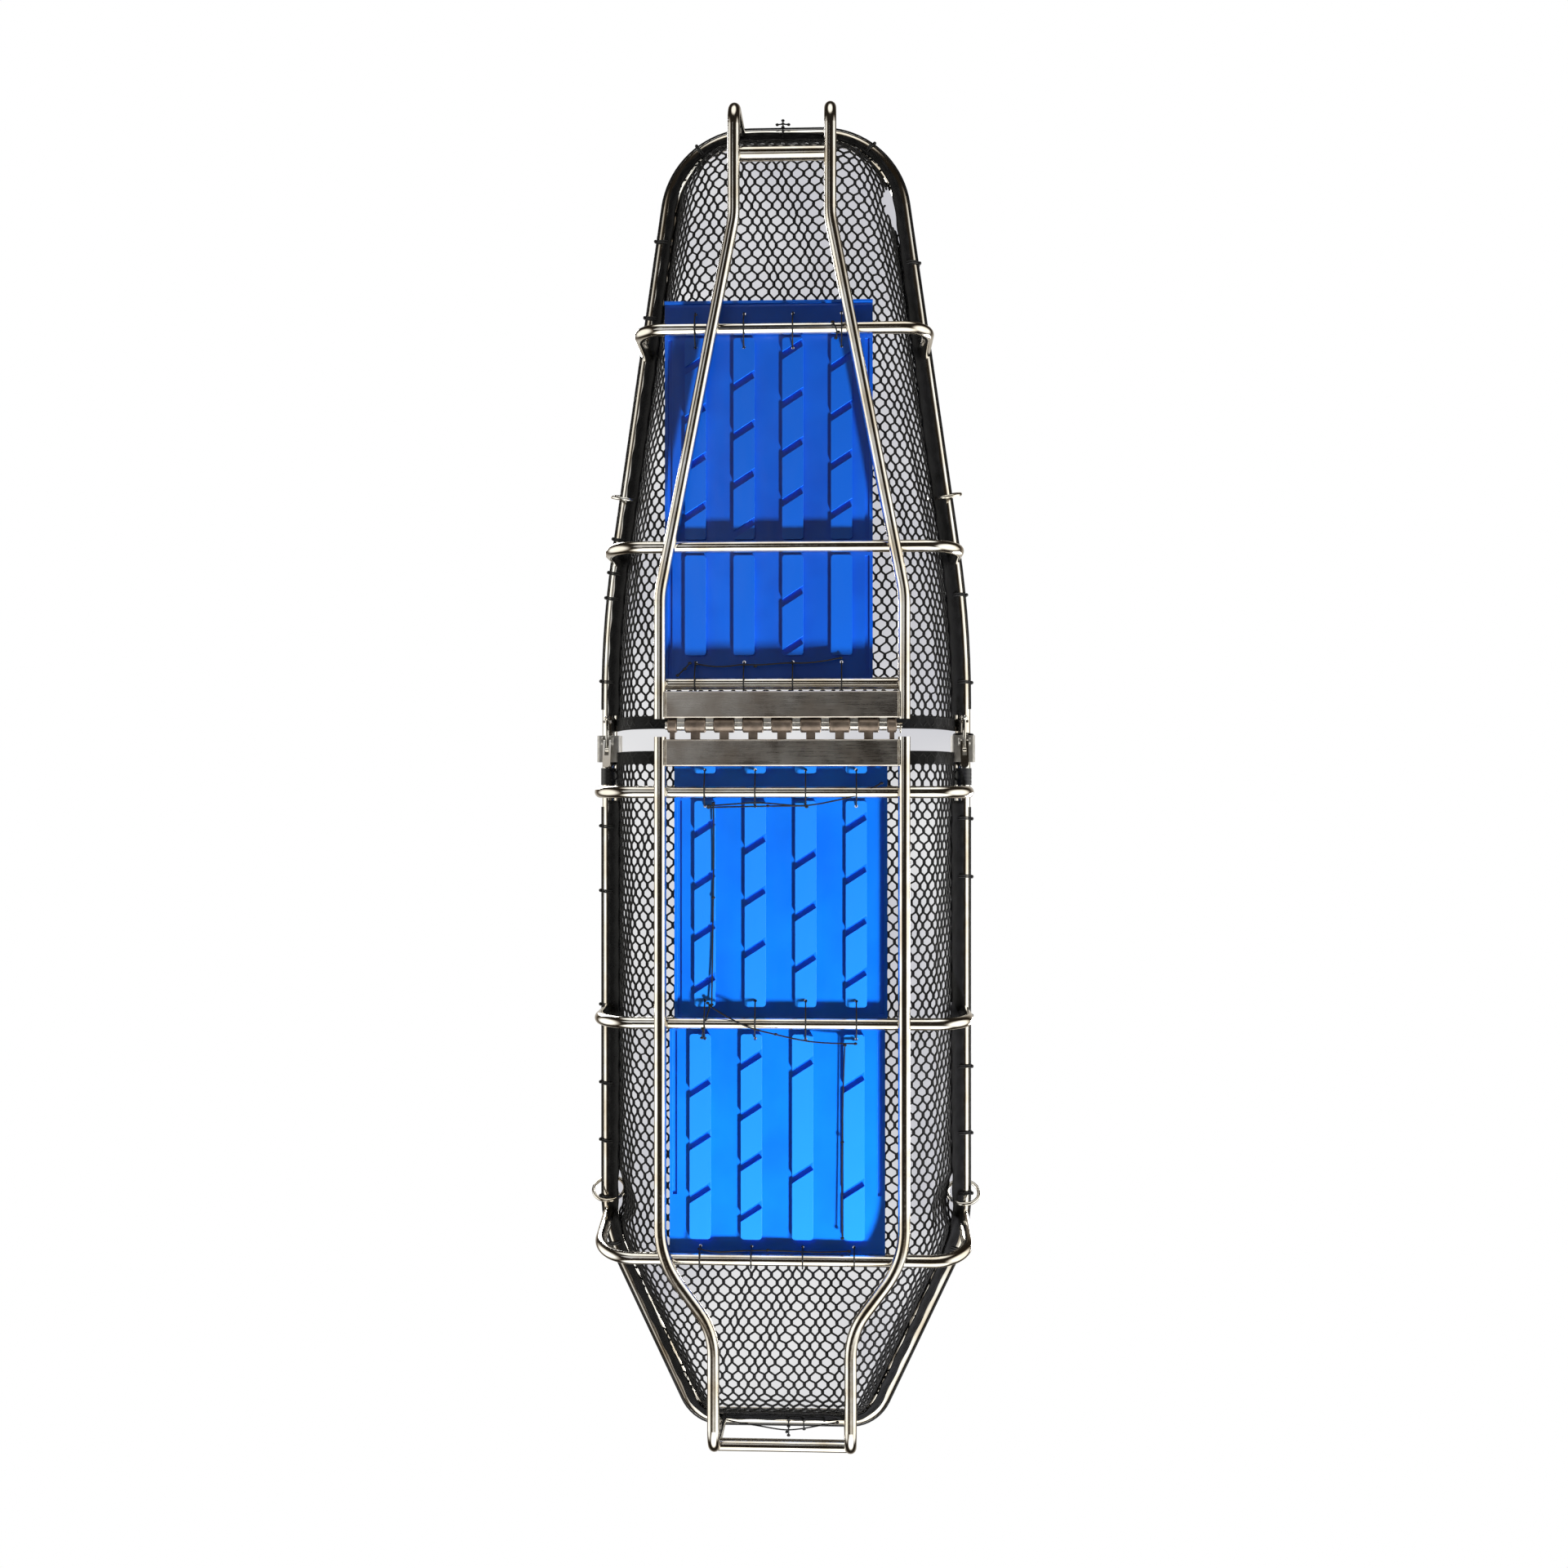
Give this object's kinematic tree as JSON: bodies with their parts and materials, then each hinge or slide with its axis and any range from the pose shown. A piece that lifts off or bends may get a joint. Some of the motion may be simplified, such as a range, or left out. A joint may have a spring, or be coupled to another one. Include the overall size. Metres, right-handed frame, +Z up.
{
  "type": "folding basket rescue stretcher",
  "caption": "Folding basket stretcher: stainless tube frame with runners, black netting lining, blue back boards, comb hinge, rail couplings with draw latches and lifting rings.",
  "frame": {"origin": "middle of the stretcher's box, on the floor under the runners", "axes": "+Z up out of the open basket, +Y towards the head end, X across the stretcher"},
  "size_m": [0.647, 2.1584, 0.1969],
  "materials": {
    "polished_stainless": "polished stainless steel tube",
    "satin_stainless": "satin stainless steel plate and bar",
    "blue_polyethylene": "fine-grained blue polyethylene sheet",
    "black_netting": "knotless black polyester netting",
    "black_webbing": "woven black edge webbing",
    "black_cord": "braided black cord",
    "black_tape": "matt black tape"
  },
  "bodies": {
    "head_half": {"back_board": "blue_polyethylene", "back_rib_tube": "polished_stainless", "grab_tube": "polished_stainless", "head_board": "blue_polyethylene", "head_board_ties": "black_cord", "head_hem": "black_webbing", "head_lacing": "black_cord", "head_net": "black_netting", "head_rail": "polished_stainless", "head_rib_tube": "polished_stainless", "head_runner_left": "polished_stainless", "head_runner_right": "polished_stainless", "hinge_bar_head": "satin_stainless", "hinge_barrels": "satin_stainless", "hinge_rod": "polished_stainless", "hinge_rod_clip": "polished_stainless", "latch_bracket_left": "satin_stainless", "latch_bracket_right": "satin_stainless", "latch_pivots_left": "polished_stainless", "latch_pivots_right": "polished_stainless", "rail_socket_left": "satin_stainless", "rail_socket_right": "satin_stainless", "rail_wrap_left": "black_tape", "rail_wrap_right": "black_tape", "waist_rib_tube": "polished_stainless"},
    "foot_half": {"board_rest_tube": "polished_stainless", "foot_board": "blue_polyethylene", "foot_board_ties": "black_cord", "foot_cross_tube": "polished_stainless", "foot_hem": "black_webbing", "foot_lacing": "black_cord", "foot_net": "black_netting", "foot_rail": "polished_stainless", "foot_rib_tube": "polished_stainless", "foot_runner_left": "polished_stainless", "foot_runner_right": "polished_stainless", "hinge_bar_foot": "satin_stainless", "hinge_lugs": "satin_stainless", "keeper_left": "satin_stainless", "keeper_right": "satin_stainless", "rail_spigot_left": "polished_stainless", "rail_spigot_right": "polished_stainless", "shin_rib_tube": "polished_stainless"},
    "latch_lever_left": {"latch_lever_left": "polished_stainless", "draw_pin_left": "polished_stainless"},
    "draw_rod_left": {"draw_rod_left": "polished_stainless", "draw_ball_left": "polished_stainless"},
    "head_ring_left": {"head_ring_left": "polished_stainless"},
    "foot_ring_left": {"foot_ring_left": "polished_stainless"},
    "latch_lever_right": {"latch_lever_right": "polished_stainless", "draw_pin_right": "polished_stainless"},
    "draw_rod_right": {"draw_rod_right": "polished_stainless", "draw_ball_right": "polished_stainless"},
    "head_ring_right": {"head_ring_right": "polished_stainless"},
    "foot_ring_right": {"foot_ring_right": "polished_stainless"}
  },
  "joints": [
    {"name": "fold_hinge", "type": "hinge", "parent": "head_half", "child": "foot_half", "pos_m": [0, -0.0787, 0.0115], "axis": [1, 0, 0], "range_deg": [0, 110]},
    {"name": "lever_left", "type": "hinge", "parent": "head_half", "child": "latch_lever_left", "pos_m": [-0.2945, -0.058, 0.151], "axis": [-1, 0, 0], "range_deg": [-12, 85]},
    {"name": "draw_left", "type": "hinge", "parent": "latch_lever_left", "child": "draw_rod_left", "pos_m": [-0.2945, -0.0441, 0.14907], "axis": [-1, 0, 0], "range_deg": [-119, 16.8]},
    {"name": "head_ring_left", "type": "hinge", "parent": "head_half", "child": "head_ring_left", "pos_m": [-0.2945, 0.688, 0.178], "axis": [0, 1, 0], "range_deg": [0, 150]},
    {"name": "foot_ring_left", "type": "hinge", "parent": "foot_half", "child": "foot_ring_left", "pos_m": [-0.26374, -0.464, 0.178], "axis": [-0.1423, 0.9898, 0], "range_deg": [0, 150]},
    {"name": "lever_right", "type": "hinge", "parent": "head_half", "child": "latch_lever_right", "pos_m": [0.2945, -0.058, 0.151], "axis": [-1, 0, 0], "range_deg": [-12, 85]},
    {"name": "draw_right", "type": "hinge", "parent": "latch_lever_right", "child": "draw_rod_right", "pos_m": [0.2945, -0.0441, 0.14907], "axis": [-1, 0, 0], "range_deg": [-119, 16.8]},
    {"name": "head_ring_right", "type": "hinge", "parent": "head_half", "child": "head_ring_right", "pos_m": [0.2945, 0.688, 0.178], "axis": [0, -1, 0], "range_deg": [0, 150]},
    {"name": "foot_ring_right", "type": "hinge", "parent": "foot_half", "child": "foot_ring_right", "pos_m": [0.26374, -0.464, 0.178], "axis": [-0.1423, -0.9898, 0], "range_deg": [0, 150]}
  ],
  "couplings": [
    {"joint": "draw_left", "follows": "lever_left", "ratio": -1.4},
    {"joint": "draw_right", "follows": "lever_right", "ratio": -1.4}
  ]
}
